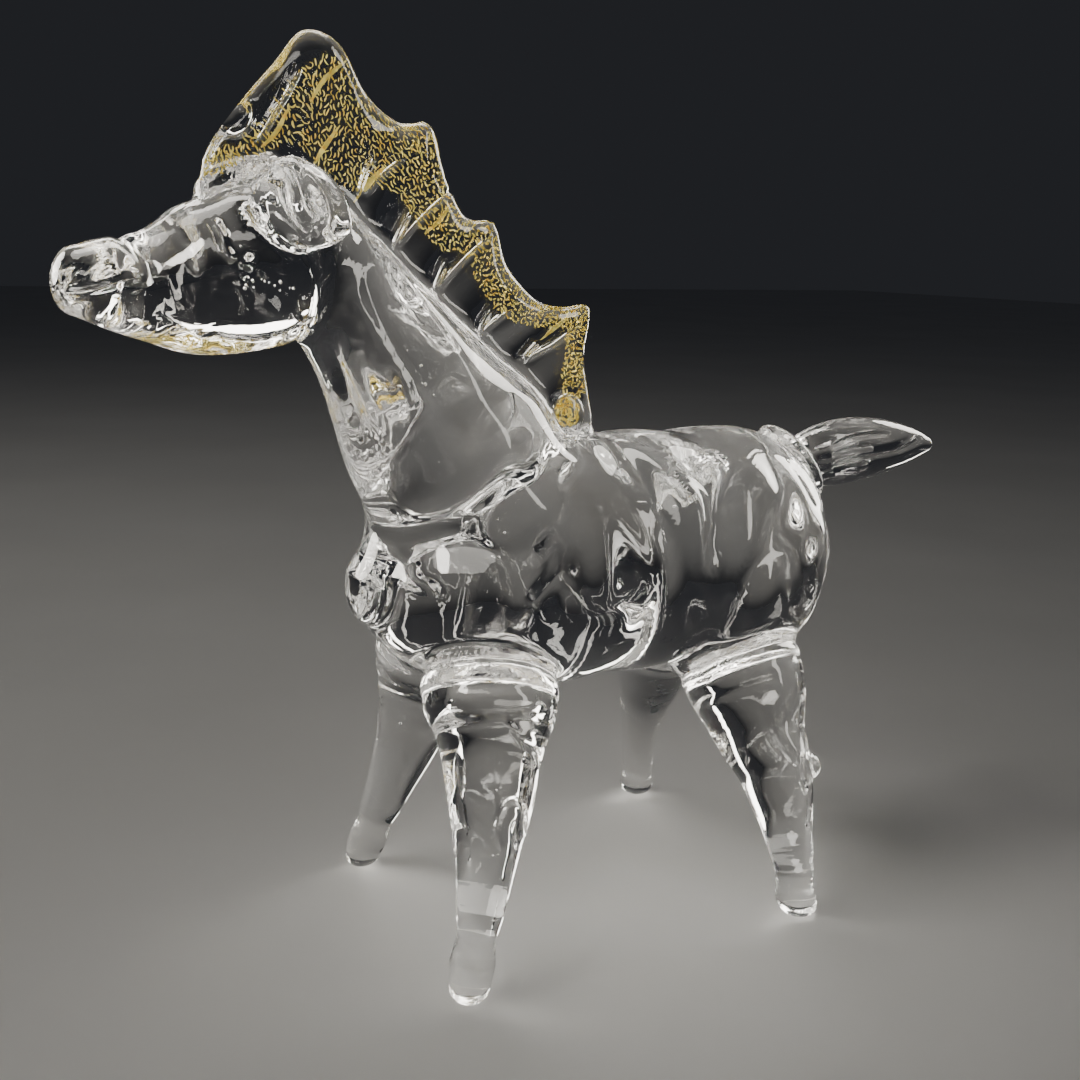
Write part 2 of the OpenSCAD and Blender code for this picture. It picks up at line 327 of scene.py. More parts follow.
def fused_skin():
    parts, faces, start = [], [], 0
    for points, tris in CAD.values():
        points, tris = rounded(points, tris)
        points = points + OVERLAP * vertex_normals(points, tris)
        parts.append(points)
        faces.append(tris + start)
        start += len(points)
    mesh = write_mesh("skin", np.concatenate(parts), np.concatenate(faces))
    holder = in_scene("skin", mesh)
    remesh = holder.modifiers.new("fuse", "REMESH")
    remesh.mode = "VOXEL"
    remesh.voxel_size = VOXEL
    graph = bpy.context.evaluated_depsgraph_get()
    out = bpy.data.meshes.new_from_object(holder.evaluated_get(graph), depsgraph=graph)
    points, tris = read_mesh(out)
    bpy.data.objects.remove(holder)
    bpy.data.meshes.remove(mesh)
    bpy.data.meshes.remove(out)
    label = groups(len(points), mesh_edges(tris))
    keep = label == np.bincount(label).argmax()
    number = np.cumsum(keep) - 1
    return points[keep], number[tris[keep[tris].all(1)]]


def distances(points):
    """How far each point of the skin is from each bit; the two mane casings count as one."""
    far = {node: clearance(node, points) for node in GLASS_NODES}
    far["mane"] = np.minimum(far.pop("mane_left_casing"), far.pop("mane_right_casing"))
    return far


# How wide each fused joint is rounded, in millimetres, and for how many rounds
FILLET = 4.2
FILLET_ROUNDS = 60
NECK_FILLET = 13.0
NECK_FILLET_ROUNDS = 400
RIPPLE_ROUNDS = 30   # rounds of smoothing that take the small ripples out of the whole skin
SOLE_ROUND = 3.0     # how high up the foot its lower edge is rounded
SOLE_ROUNDS = 60
SMOOTHING = {"torso": 1.0, "neck": 1.0, "head": 0.9, "ear_left": 1.0, "ear_right": 1.0}


def soft_step(value, low, high):
    """0 below low, 1 above high, and a smooth rise between."""
    t = np.clip((value - low) / (high - low), 0, 1)
    return t * t * (3 - 2 * t)


def melted(points, edges, far):
    """Smooths the fused skin: ripples everywhere, and a hollow fillet along each joint."""
    table = np.stack(list(far.values()))
    names = list(far)
    owner = table.argmin(0)
    weight = np.array([SMOOTHING.get(n, 0.6) for n in names])[owner]
    points = relaxed(points, edges, spread(weight, edges, 20), RIPPLE_ROUNDS)
    second = np.sort(np.abs(table), axis=0)[1]
    weight = 1 - soft_step(second, 0.3 * FILLET, FILLET)
    points = relaxed(points, edges, weight, FILLET_ROUNDS, pull=0)
    neck_seam = np.maximum(np.abs(far["torso"]), np.abs(far["neck"]))
    clear = soft_step(far["mane"], 1, 6)
    weight = (1 - soft_step(neck_seam, 0.35 * NECK_FILLET, NECK_FILLET)) * clear
    points = relaxed(points, edges, weight, NECK_FILLET_ROUNDS, pull=0)
    weight = 1 - soft_step(points[:, 2], 0.5, SOLE_ROUND)
    points = relaxed(points, edges, weight, SOLE_ROUNDS, pull=0)
    for leg in LEGS:   # the rounded soles are set down on the ground again
        mine = far[leg] < 2
        lift = points[mine, 2].min() * (1 - soft_step(points[:, 2], SOLE_ROUND, 3 * SOLE_ROUND))
        points[mine, 2] -= lift[mine]
    return points


# ---------------------------------------------------------------- tool marks

def drawn(node, shares, steps=24):
    """A smooth line on the side view, through shares of a node's box: places as [x, z]."""
    low, high = LOW[node][[0, 2]], HIGH[node][[0, 2]]
    p = low + (high - low) * np.array(shares, dtype=float)
    p = np.concatenate([[2 * p[0] - p[1]], p, [2 * p[-1] - p[-2]]])
    line = []
    for a, b, c, d in zip(p, p[1:], p[2:], p[3:]):
        for t in np.arange(steps) / steps:
            line.append((2 * b + (c - a) * t + (2 * a - 5 * b + 4 * c - d) * t ** 2
                         + (3 * b - a - 3 * c + d) * t ** 3) / 2)
    return np.array(line)


def along_line(points, line, reach):
    """The distance to a drawn line on the side view, and how far along it, from 0 to 1."""
    flat = points[:, [0, 2]]
    distance = np.full(len(points), 99.0)
    share = np.zeros(len(points))
    near = np.where(((flat > line.min(0) - reach) & (flat < line.max(0) + reach)).all(1))[0]
    for chunk in np.array_split(near, max(1, len(near) // 4000)):
        gap = np.linalg.norm(flat[chunk, None] - line[None], axis=2)
        distance[chunk] = gap.min(1)
        share[chunk] = gap.argmin(1) / (len(line) - 1)
    return distance, share


def side_mask(points, side, soft=3.0):
    """1 on one side of the middle plane, fading to 0 as the skin crosses it."""
    if side == 0:
        return np.ones(len(points))
    return np.clip(side * (points[:, 1] - MIDDLE) / soft, 0, 1)


def crease(points, node, shares, depth, width, side=0, ends=0.15):
    """A drawn groove, which fades out at its ends. A negative depth is a ridge."""
    distance, share = along_line(points, drawn(node, shares), 3.5 * width)
    fade = soft_step(share, 0, ends) * soft_step(1 - share, 0, ends) if ends else 1.0
    return depth * np.exp(-(distance / width) ** 2) * fade * side_mask(points, side)


def dent(points, centre, depth, radius):
    """A round dimple, or a bump if the depth is negative."""
    gap = np.linalg.norm(points - centre, axis=1) / radius
    return depth * np.exp(-gap ** 2)


def ring(gap, depth, distance, width):
    """A groove all along one distance from something. A negative depth is a ridge."""
    return depth * np.exp(-((gap - distance) / width) ** 2)


# Creases that the left and the right side share: node, [x, z] shares, depth, width
HEAD_CREASES = [
    ([(0.475, 0.74), (0.49, 0.66), (0.50, 0.58), (0.53, 0.50)], 0.7, 1.0),  # brow
    ([(0.45, 0.37), (0.49, 0.335), (0.53, 0.35)], 0.2, 0.6),                # under the eye
    ([(0.27, 0.25), (0.40, 0.18), (0.53, 0.22), (0.65, 0.32)], 0.15, 0.8),  # jaw line
    ([(0.74, 0.66), (0.80, 0.50), (0.84, 0.32), (0.86, 0.14)], 0.8, 1.6),   # back of the cheek
    ([(0.72, 0.10), (0.80, 0.16), (0.88, 0.06)], 0.6, 1.1),                 # under the cheek
]
MUZZLE_CREASES = [
    ([(0.19, 0.80), (0.215, 0.64), (0.25, 0.53), (0.265, 0.44), (0.235, 0.37)], 0.7, 1.4),
    ([(0.02, 0.335), (0.07, 0.335), (0.13, 0.365), (0.20, 0.41), (0.25, 0.42)], 0.8, 0.9),
    ([(0.235, 0.36), (0.255, 0.27), (0.25, 0.17)], 0.5, 1.2),
]
BODY_CREASES = [
    ([(0.45, 1.00), (0.475, 0.96), (0.49, 0.89), (0.50, 0.78), (0.515, 0.66)], 1.8, 3.4),
    ([(0.53, 0.88), (0.58, 0.79), (0.565, 0.65), (0.56, 0.47)], -1.0, 3.0),
    ([(0.70, 0.93), (0.645, 0.81), (0.60, 0.66), (0.575, 0.48)], 1.9, 4.0),
    ([(0.71, 0.95), (0.78, 0.88), (0.79, 0.76), (0.745, 0.62), (0.68, 0.47), (0.62, 0.33)],
     2.3, 4.2),
    ([(0.86, 0.92), (0.91, 0.76), (0.86, 0.56), (0.78, 0.40)], -1.0, 4.0),
    ([(0.31, 0.72), (0.295, 0.58), (0.35, 0.42), (0.42, 0.45), (0.44, 0.62)], 1.1, 3.2),
    ([(0.06, 0.68), (0.055, 0.58), (0.10, 0.52)], 0.8, 2.0),
    ([(0.21, 0.38), (0.25, 0.49), (0.28, 0.57), (0.31, 0.69)], 1.5, 3.2),
]
NECK_CREASES = [
    ([(0.10, 0.88), (0.20, 0.70), (0.31, 0.52), (0.43, 0.34), (0.52, 0.20)], 1.3, 3.2),
    ([(0.20, 0.92), (0.33, 0.74), (0.47, 0.57), (0.62, 0.42)], -0.6, 3.0),
    ([(0.05, 0.62), (0.11, 0.48), (0.17, 0.36), (0.24, 0.22)], 0.9, 2.4),
    ([(0.30, 0.50), (0.33, 0.40), (0.29, 0.28), (0.22, 0.16)], 0.7, 2.6),
]
# The mane is pinched into folds: each is a V that opens towards a tooth of the rim
MANE_FOLDS = [
    [(0.35, 0.62), (0.37, 0.68), (0.40, 0.73)],
    [(0.36, 0.62), (0.41, 0.68), (0.47, 0.73)],
    [(0.43, 0.49), (0.455, 0.55), (0.49, 0.61)],
    [(0.435, 0.49), (0.48, 0.55), (0.55, 0.62), (0.62, 0.67)],
    [(0.53, 0.38), (0.55, 0.43), (0.575, 0.49)],
    [(0.535, 0.38), (0.58, 0.44), (0.64, 0.50), (0.70, 0.55)],
    [(0.65, 0.28), (0.67, 0.32), (0.70, 0.37)],
    [(0.655, 0.28), (0.70, 0.32), (0.76, 0.36)],
    [(0.77, 0.21), (0.80, 0.245), (0.83, 0.275)],
    [(0.775, 0.21), (0.82, 0.235), (0.87, 0.26), (0.95, 0.32)],
    [(0.11, 0.84), (0.115, 0.79), (0.09, 0.755), (0.05, 0.745)],
    [(0.23, 0.93), (0.20, 0.87), (0.15, 0.78), (0.11, 0.72)],
]
MANE_BULB = (0.915, 0.065)   # the rounded lump at the mane's lower end, as [x, z] shares
TAIL_FLUTES = [
    [(0.30, 0.70), (0.41, 0.79), (0.53, 0.82), (0.68, 0.82)],
    [(0.30, 0.61), (0.42, 0.67), (0.56, 0.68)],
    [(0.30, 0.49), (0.48, 0.55), (0.66, 0.57), (0.81, 0.63), (0.92, 0.73)],
    [(0.31, 0.42), (0.42, 0.47), (0.56, 0.50)],
]
EAR_FOLDS = [
    ([(0.12, 0.74), (0.12, 0.50), (0.24, 0.26), (0.42, 0.12)], 0.9, 1.2),
    ([(0.36, 0.92), (0.36, 0.68), (0.40, 0.46), (0.50, 0.28)], 0.9, 1.0),
]
KNEE_MARKS = [
    ([(0.33, 0.42), (0.28, 0.52), (0.36, 0.59), (0.47, 0.57), (0.50, 0.44)], 0.6, 0.7),
    ([(0.40, 0.44), (0.38, 0.51), (0.42, 0.54)], 0.4, 0.5),
    ([(0.40, 0.81), (0.60, 0.72), (0.70, 0.64), (0.62, 0.52)], 0.5, 1.1),
]
HOCK_MARKS = [
    ([(0.62, 0.60), (0.55, 0.52), (0.60, 0.45)], 0.5, 0.9),
    ([(0.35, 0.80), (0.42, 0.66), (0.55, 0.55)], 0.5, 1.4),
]

BROW_SINK = 2.4     # how far the glass of the brow is drawn in along the foot of the mane
BROW_SPREAD = 8.0   # and how far out from the mane that reaches
FAR_SIDE = {-1: 1.0, 1: 0.4}   # the head's and the tail's marks are shallower on the right

# Round marks: depth and radius in millimetres
EYE = (1.1, 1.5)
PUPIL = (0.6, 0.7)
PUPIL_SHIFT = (-0.8, 0, -2.4)   # from the middle of the eye
NOSTRIL = (0.5, 1.1)
# Drawn marks: depth and width
MANE_FOLD = (0.7, 0.55)
TAIL_FLUTE = (1.2, 0.65)
# Rings: depth, distance from something, and width. A negative depth is a ridge
BULB_RING = (0.5, 4.8, 0.7)
BULB_DOME = (-0.7, 0, 3.2)
DISC_GROOVE = (0.45, 1.6, 0.7)
DISC_RIM = (-0.5, 0.2, 0.6)
DISC_BACK = (60, 66)            # the rim rises over this stretch of X
THIGH_BAND = (0.5, 3.0, 1.1)
LOWER_BAND = {"front": (0.3, 8.5, 1.3), "hind": (0.3, 6.5, 1.3)}
HOOF_TOP = {"front": 12.0, "hind": 10.0}   # height of the hoof's upper edge
HOOF_GROOVE = (0.45, 0, 2.6)
HOOF_FLARE = (-0.4, -6.5, 2.8)
HOOF_SLANT = 0.25               # how much the hoof's upper edge rises towards the front


def tool_marks(points, normals, far):
    """How deep the tools pressed into the soft glass at each point."""
    sink = np.zeros(len(points))
    ears = np.minimum(far["ear_left"], far["ear_right"])
    on_head = soft_step(-far["head"], -1.2, -0.4) * soft_step(far["mane"], 0.2, 1.5)
    on_head *= soft_step(ears, 0.2, 1.5)
    on_body = soft_step(-far["torso"], -2.5, -1.0)
    on_neck = soft_step(-far["neck"], -2.5, -1.0) * soft_step(far["mane"], 0.5, 2.5)
    for side in (-1, 1):
        for shares, depth, width in HEAD_CREASES:
            sink += on_head * crease(points, "head", shares, depth * FAR_SIDE[side], width, side)
        eye = spot("head", 0.565, 0.5 + side * 0.49, 0.50)
        sink += on_head * (dent(points, eye, *EYE) + dent(points, eye + PUPIL_SHIFT, *PUPIL))
        nostril = spot("head", 0.045, 0.5 + side * 0.17, 0.46)
        sink += on_head * dent(points, nostril, *NOSTRIL)
        for shares, depth, width in BODY_CREASES:
            sink += on_body * crease(points, "torso", shares, depth, width, side, ends=0.3)
        for shares, depth, width in NECK_CREASES:
            sink += on_neck * crease(points, "neck", shares, depth, width, side, ends=0.3)
    on_top = soft_step(far["mane"], 0, BROW_SPREAD / 3) * np.exp(-(far["mane"] / BROW_SPREAD) ** 2)
    on_top *= soft_step(-far["head"], -1.2, -0.4) * soft_step(normals[:, 2], 0, 0.5)
    sink += BROW_SINK * on_top * soft_step(ears, 0.2, 3)
    for shares, depth, width in MUZZLE_CREASES:
        sink += on_head * crease(points, "head", shares, depth, width, ends=0.1)
    on_mane = soft_step(-far["mane"], -1.0, -0.3)
    on_mane *= soft_step(np.minimum(far["neck"], far["head"]), 0, 2)
    for shares in MANE_FOLDS:
        sink += on_mane * crease(points, "mane_left_casing", shares, *MANE_FOLD, ends=0.25)
    bulb = spot("mane_left_casing", MANE_BULB[0], 1, MANE_BULB[1])
    gap = np.hypot(points[:, 0] - bulb[0], points[:, 2] - bulb[2])
    sink += on_mane * (ring(gap, *BULB_RING) + ring(gap, *BULB_DOME))
    on_tail = soft_step(-far["tail"], -1.0, -0.2) * soft_step(far["torso"], 1.0, 3.0)
    depth, width = TAIL_FLUTE
    for side in (-1, 1):
        for shares in TAIL_FLUTES:
            sink += on_tail * crease(points, "tail", shares, depth * FAR_SIDE[side], width, side,
                                     ends=0.1)
    for ear in ("ear_left", "ear_right"):
        on_ear = soft_step(-far[ear], -0.8, -0.2) * soft_step(far["head"], 0.0, 1.0)
        side = 1 if ear == "ear_right" else -1
        facing = soft_step(side * normals[:, 1], 0.0, 0.5)
        for shares, depth, width in EAR_FOLDS:
            sink += on_ear * facing * crease(points, ear, shares, depth, width, ends=0.1)
    sink += leg_marks(points, far)
    sink += ring(far["tail"], *DISC_GROOVE) * soft_step(-far["torso"], -1.5, -0.5)
    sink += ring(far["tail"], *DISC_RIM) * soft_step(points[:, 0], *DISC_BACK)
    return sink


def leg_marks(points, far):
    """The bands where the legs are joined on, the pinches at the knees and the hooves."""
    sink = np.zeros(len(points))
    for leg in LEGS:
        end = "front" if "front" in leg else "hind"
        centre = (LOW[leg] + HIGH[leg]) / 2
        mine = soft_step(-far[leg], -1.2, -0.4)
        sink += mine * (ring(far["torso"], *THIGH_BAND) + ring(far["torso"], *LOWER_BAND[end]))
        hoof = points[:, 2] + HOOF_SLANT * (points[:, 0] - centre[0]) - HOOF_TOP[end]
        sink += mine * (ring(hoof, *HOOF_GROOVE) + ring(hoof, *HOOF_FLARE))
        side = 1 if "right" in leg else -1
        outer = soft_step(side * (points[:, 1] - centre[1]), -6, 0)
        for shares, depth, width in KNEE_MARKS if end == "front" else HOCK_MARKS:
            sink += mine * outer * crease(points, leg, shares, depth, width)
    return sink


WAVES = 6


def flow(points, far):
    """Long shallow waves left by the pull of the hot glass."""
    waves = np.zeros(len(points))
    pull = np.array([0.75, 0.15, -0.65])   # the way the body was pulled
    across = np.array([0.6, 0.5, 0.62])
    for _ in range(WAVES):
        turn = RNG.uniform(-0.6, 0.6)
        way = across * np.cos(turn) + pull * np.sin(turn)
        length = RNG.uniform(16, 40)
        bend = RNG.uniform(0.5, 1.6)
        phase = RNG.uniform(0, 2 * np.pi, 2)
        bent = points @ way + bend * length / 6 * np.sin(points @ pull / length + phase[1])
        waves += np.sin(2 * np.pi * bent / length + phase[0])
    thick = np.minimum(far["torso"], far["neck"])
    thin = np.min([v for n, v in far.items() if n not in ("torso", "neck")], axis=0)
    return waves / WAVES * (0.15 + 1.5 * soft_step(thin - thick, 0, 5))


# ---------------------------------------------------------------- cutting the skin apart

class Shape:
    """A closed solid: points, smooth normals, distances to each bit, triangles and their kind."""

    def __init__(self, points, normals, far, tris, kind):
        self.points = points
        self.normals = normals
        self.far = far
        self.tris = tris
        self.kind = kind

    def with_middle(self, ring):
        """The same with one more point, in the middle of a ring of its points."""
        def more(values):
            return np.concatenate([values, values[ring].mean(0, keepdims=True)])
        far = {n: more(v) for n, v in self.far.items()}
        return Shape(more(self.points), more(self.normals), far, self.tris, self.kind)

    def part(self, tris, kind):
        used, back = np.unique(tris, return_inverse=True)
        far = {n: v[used] for n, v in self.far.items()}
        return Shape(self.points[used], self.normals[used], far, back.reshape(tris.shape), kind)


def one_piece(shape, field, near):
    """Keeps the positive side in one piece around its highest point near a bit."""
    edges = mesh_edges(shape.tris)
    field = np.where(np.abs(field) < 1e-4, 1e-4, field)
    for sign in (1, -1):
        on = field * sign > 0
        label = groups(len(field), edges[on[edges].all(1)])
        if sign > 0:
            best = np.where(near & on, field, -np.inf).argmax()
            main = label[best]
        else:
            main = np.bincount(label[on]).argmax()
        field = np.where(on & (label != main), -sign * 1e-3, field)
    return field


def rings(starts, ends):
    """Links directed edges into closed rings."""
    after = dict(zip(starts.tolist(), ends.tolist()))
    out = []
    while after:
        first, here = after.popitem()
        ring = [first]
        while here != first:
            ring.append(here)
            here = after.pop(here)
        out.append(ring)
    return out


def cap(points, ring):
    """Triangles that close a ring, turned the same way round as the ring.

    A ring that can't be laid flat gets a fan around its middle, which has the number -1."""
    p = points[ring]
    q = np.roll(p, -1, 0)
    up = normalised(np.cross(p - p.mean(0), q - p.mean(0)).sum(0))
    x = normalised(np.cross(up, [0.3, 0.5, 0.8]))
    y = np.cross(up, x)
    flat = np.stack([p @ x, p @ y], 1)
    outline = [Vector((a, b, 0)) for a, b in flat.tolist()]
    faces = np.array(tessellate_polygon([outline]), dtype=np.int64)
    ring = np.array(ring)
    if len(faces) != len(ring) - 2:
        return np.stack([ring, np.roll(ring, -1), np.full(len(ring), -1)], 1)
    a, b, c = flat[faces[:, 0]], flat[faces[:, 1]], flat[faces[:, 2]]
    turn = (b[:, 0] - a[:, 0]) * (c[:, 1] - a[:, 1]) - (b[:, 1] - a[:, 1]) * (c[:, 0] - a[:, 0])
    faces[turn < 0] = faces[turn < 0][:, ::-1]
    return ring[faces]


def cut(shape, field):
    """Splits a closed solid where a field crosses zero, and closes both halves."""
    up = field > 0
    count = up[shape.tris].sum(1)
    split = (count == 1) | (count == 2)
    tris, kind = shape.tris[split], shape.kind[split]
    lone_up = count[split] == 1
    lone = np.where(lone_up[:, None], up[tris], ~up[tris]).argmax(1)
    a, b, c = np.take_along_axis(tris, (lone[:, None] + np.arange(3)) % 3, 1).T
    pairs, back = unique_pairs(np.concatenate([np.stack([a, b], 1), np.stack([a, c], 1)]))
    back = back + len(shape.points)
    low, high = field[pairs[:, 0]], field[pairs[:, 1]]
    t = np.clip(low / (low - high), 0.02, 0.98)

    def mixed(values):
        share = t[:, None] if values.ndim == 2 else t
        crossing = values[pairs[:, 0]] * (1 - share) + values[pairs[:, 1]] * share
        return np.concatenate([values, crossing])

    whole = Shape(mixed(shape.points), normalised(mixed(shape.normals)),
                  {n: mixed(v) for n, v in shape.far.items()}, None, None)
    p, q = back[:len(a)], back[len(a):]
    small = np.stack([a, p, q], 1)
    large = np.concatenate([np.stack([p, b, c], 1), np.stack([p, c, q], 1)])
    twice = np.concatenate([lone_up, lone_up])
    closing = []
    for ring in rings(np.where(lone_up, q, p), np.where(lone_up, p, q)):
        faces = cap(whole.points, ring)
        faces[faces < 0] = len(whole.points)
        if faces.max() == len(whole.points):
            whole = whole.with_middle(ring)
        closing.append(faces)
    closing = np.concatenate(closing)
    halves = []
    for above in (True, False):
        mine = lone_up == above
        rest = count == (3 if above else 0)
        faces = [shape.tris[rest], small[mine], large[twice != above],
                 closing if above else closing[:, ::-1]]
        kinds = [shape.kind[rest], kind[mine], np.concatenate([kind, kind])[twice != above],
                 np.full(len(closing), JOINT)]
        halves.append(whole.part(np.concatenate(faces), np.concatenate(kinds)))
    return halves


SEAM = 1.4   # how far outside its neighbour each bit is parted from it, in millimetres


def parted(skin):
    """Cuts the fused skin into one closed solid for each bit."""
    pieces = {}
    rest = skin
    for ear in ("ear_left", "ear_right"):
        beside = np.minimum(np.minimum(rest.far["head"], rest.far["mane"]), rest.far["neck"])
        field = beside - 0.5 * SEAM
        pieces[ear], rest = cut(rest, one_piece(rest, field, rest.far[ear] < 1))
    field = np.minimum(np.minimum(rest.far["torso"], rest.far["neck"]), rest.far["head"]) - SEAM
    mane, rest = cut(rest, one_piece(rest, field, rest.far["mane"] < 1))
    pieces["mane_right_casing"], pieces["mane_left_casing"] = cut(mane, mane.points[:, 1] - MIDDLE)
    for limb in LEGS + ["tail"]:
        field = rest.far["torso"] - SEAM
        pieces[limb], rest = cut(rest, one_piece(rest, field, rest.far[limb] < 1))
    field = SEAM - rest.far["head"]
    pieces["head"], rest = cut(rest, one_piece(rest, field, rest.far["head"] < 1))
    field = rest.far["torso"] - SEAM
    pieces["neck"], pieces["torso"] = cut(rest, one_piece(rest, field, rest.far["neck"] < 1))
    return pieces


# ---------------------------------------------------------------- pieces

# Bubbles caught in the glass: node, middle as shares of its box, reach each way, how many,
# and the least and greatest radius, all in millimetres
BUBBLES = [
    ("head", (0.66, 0.24, 0.40), (5.0, 1.5, 1.2), 12, (0.16, 0.36)),
    ("head", (0.57, 0.30, 0.55), (3.0, 3.0, 3.0), 4, (0.15, 0.30)),
    ("neck", (0.45, 0.50, 0.50), (3.0, 5.0, 9.0), 8, (0.18, 0.40)),
    ("torso", (0.50, 0.45, 0.55), (40.0, 12.0, 12.0), 16, (0.20, 0.50)),
]
LEG_BUBBLES = 3
LEG_BUBBLE_REACH = (1.5, 1.5, 9.0)
LEG_BUBBLE_RADIUS = (0.15, 0.32)


def bubble_places(name):
    """Middles and radii of a piece's bubbles."""
    sets = [(spot(node, *shares), *rest) for node, shares, *rest in BUBBLES if node == name]
    if name in LEGS:
        level = (LOW[name][2] + HIGH[name][2]) / 2
        points = CAD[name][0]
        axis = points[np.abs(points[:, 2] - level) < 5].mean(0)
        sets.append((axis, LEG_BUBBLE_REACH, LEG_BUBBLES, LEG_BUBBLE_RADIUS))
    places = [middle + np.array(reach) * RNG.uniform(-1, 1, (count, 3))
              for middle, reach, count, _ in sets]
    radii = [RNG.uniform(*radius, count) for *_, count, radius in sets]
    return [(p, r) for a, b in zip(places, radii) for p, r in zip(a, b)]


def with_bubbles(shape, name):
    """Adds each bubble as a closed inner wall that faces into the bubble."""
    ball = bmesh.new()
    bmesh.ops.create_icosphere(ball, subdivisions=2, radius=1)
    unit = np.array([v.co for v in ball.verts])
    faces = np.array([[v.index for v in f.verts][::-1] for f in ball.faces])
    ball.free()
    points, normals, tris = [shape.points], [shape.normals], [shape.tris]
    start = len(shape.points)
    for place, radius in bubble_places(name):
        points.append(place + radius * unit)
        normals.append(-unit)
        tris.append(faces + start)
        start += len(unit)
    tris = np.concatenate(tris)
    kind = np.concatenate([shape.kind, np.full(len(tris) - len(shape.tris), GLASS)])
    return Shape(np.concatenate(points), np.concatenate(normals), {}, tris, kind)


def glass_piece(name, shape, materials):
    mesh = write_mesh(name, shape.points * MM, shape.tris)
    for material in materials:
        mesh.materials.append(material)
    mesh.polygons.foreach_set("material_index", shape.kind.astype(np.int32))
    mesh.shade_smooth()
    corners = shape.normals[shape.tris]
    flat = normalised(face_normals(shape.points, shape.tris))
    corners = np.where((shape.kind == JOINT)[:, None, None], flat[:, None], corners)
    mesh.normals_split_custom_set(corners.reshape(-1, 3).tolist())
    return in_scene(name, mesh)


# ---------------------------------------------------------------- gold leaf

# The leaf breaks into curled shreds as the hot mane is stretched. Sizes in millimetres.
SHRED_LENGTH = (0.8, 1.7)
SHRED_WIDTH = (0.26, 0.44)
SHRED_THICKNESS = 0.08
SHRED_GAP = (1.02, 0.62)   # least distance between shreds, near the head and near the tail end
STREAM_TURN = np.radians(-72)   # the way the leaf was stretched, from +X towards +Z
STREAM = (np.cos(STREAM_TURN), np.sin(STREAM_TURN))
STREAM_PULL = 1.25              # how much nearer shreds lie along that way than across it
FOREHEAD_SHARE = 0.09   # how much of the leaf is crumpled over the forehead
CRUMPLED = (0.45, 0.62)   # where the streaming upper leaf turns into the crumpled lower band
SHRED_TRIES = 16000
SHRED_DEPTH = 0.25        # how far shreds lie off the middle plane, each way
BALL_SHREDS = 90
BALL_RADIUS = 3.4
BALL_SKIN = 3.6           # the radius at which the lump of leaf comes to nothing
BALL_DEPTH = 1.6
FOLD_LINES = [   # where the leaf is folded on edge: [x, z] shares of the leaf's box
    [(0.33, 0.98), (0.28, 0.93), (0.245, 0.87)],
    [(0.20, 0.85), (0.17, 0.79), (0.13, 0.745)],
    [(0.315, 0.81), (0.28, 0.755), (0.25, 0.70)],
    [(0.42, 0.71), (0.385, 0.665), (0.345, 0.61)],
    [(0.60, 0.62), (0.57, 0.575), (0.53, 0.535)],
    [(0.955, 0.31), (0.90, 0.27), (0.86, 0.235)],
]


def scattered(node, count, gap):
    """Seeded places on the left face of a flat bit, no nearer to each other than a gap."""
    points, tris = CAD[node]
    raw = face_normals(points, tris)
    tris = tris[raw[:, 1] < -0.9 * np.linalg.norm(raw, axis=1)]
    size = np.linalg.norm(face_normals(points, tris), axis=1)
    face = tris[RNG.choice(len(tris), count, p=size / size.sum())]
    u, v = RNG.random((2, count))
    over = u + v > 1
    u[over], v[over] = 1 - u[over], 1 - v[over]
    corners = points[face]
    places = corners[:, 0] + u[:, None] * (corners[:, 1] - corners[:, 0]) \
        + v[:, None] * (corners[:, 2] - corners[:, 0])
    kept, cells = [], {}
    for x, _, z in places.tolist():
        share = (x - LOW[node][0]) / (HIGH[node][0] - LOW[node][0])
        least = gap[0] + (gap[1] - gap[0]) * (1 if share < FOREHEAD_SHARE else share)
        i, j = int(x // 1.0), int(z // 1.0)
        around = [p for a in (-1, 0, 1) for b in (-1, 0, 1) for p in cells.get((i + a, j + b), ())]
        along = [((x - p[0]) * STREAM[0] + (z - p[1]) * STREAM[1],
                  (z - p[1]) * STREAM[0] - (x - p[0]) * STREAM[1]) for p in around]
        if all((a / STREAM_PULL) ** 2 + (b * STREAM_PULL) ** 2 > least * least for a, b in along):
            cells.setdefault((i, j), []).append((x, z))
            kept.append((x, z, share))
    return np.array(kept)


def shreds(places, way, length, width, curl, tilt, off):
    """Thin curled slips, each a closed solid, as one set of points and triangles."""
    stations = np.array([-0.5, -0.28, 0.0, 0.28, 0.5])
    waist = np.array([0.35, 0.9, 1.0, 0.85, 0.3])
    ahead = np.stack([np.cos(way), np.zeros_like(way), np.sin(way)], 1)
    across = np.stack([-np.sin(way), np.zeros_like(way), np.cos(way)], 1)
    up = np.array([0.0, 1.0, 0.0])
    rows = []
    for at, wide in zip(stations, waist):
        centre = np.stack([places[:, 0], off, places[:, 1]], 1) + ahead * (at * length)[:, None]
        centre += across * (curl * length * (at * at - 0.1))[:, None]
        turn = tilt + at * curl
        side = across * np.cos(turn)[:, None] + up * np.sin(turn)[:, None]
        face = up * np.cos(turn)[:, None] - across * np.sin(turn)[:, None]
        for a, b in ((1, -1), (1, 1), (-1, 1), (-1, -1)):
            rows.append(centre + side * (a * wide * width / 2)[:, None]
                        + face * b * SHRED_THICKNESS / 2)
    points = np.stack(rows, 1)
    faces = [(0, 1, 2), (0, 2, 3)]
    last = 4 * (len(stations) - 1)
    faces += [(last, last + 2, last + 1), (last, last + 3, last + 2)]
    for row in range(len(stations) - 1):
        for k in range(4):
            a, b = 4 * row + k, 4 * row + (k + 1) % 4
            faces += [(a, a + 4, b), (b, a + 4, b + 4)]
    start = np.arange(len(points))[:, None, None] * points.shape[1]
    return points.reshape(-1, 3), (np.array(faces)[None] + start).reshape(-1, 3)


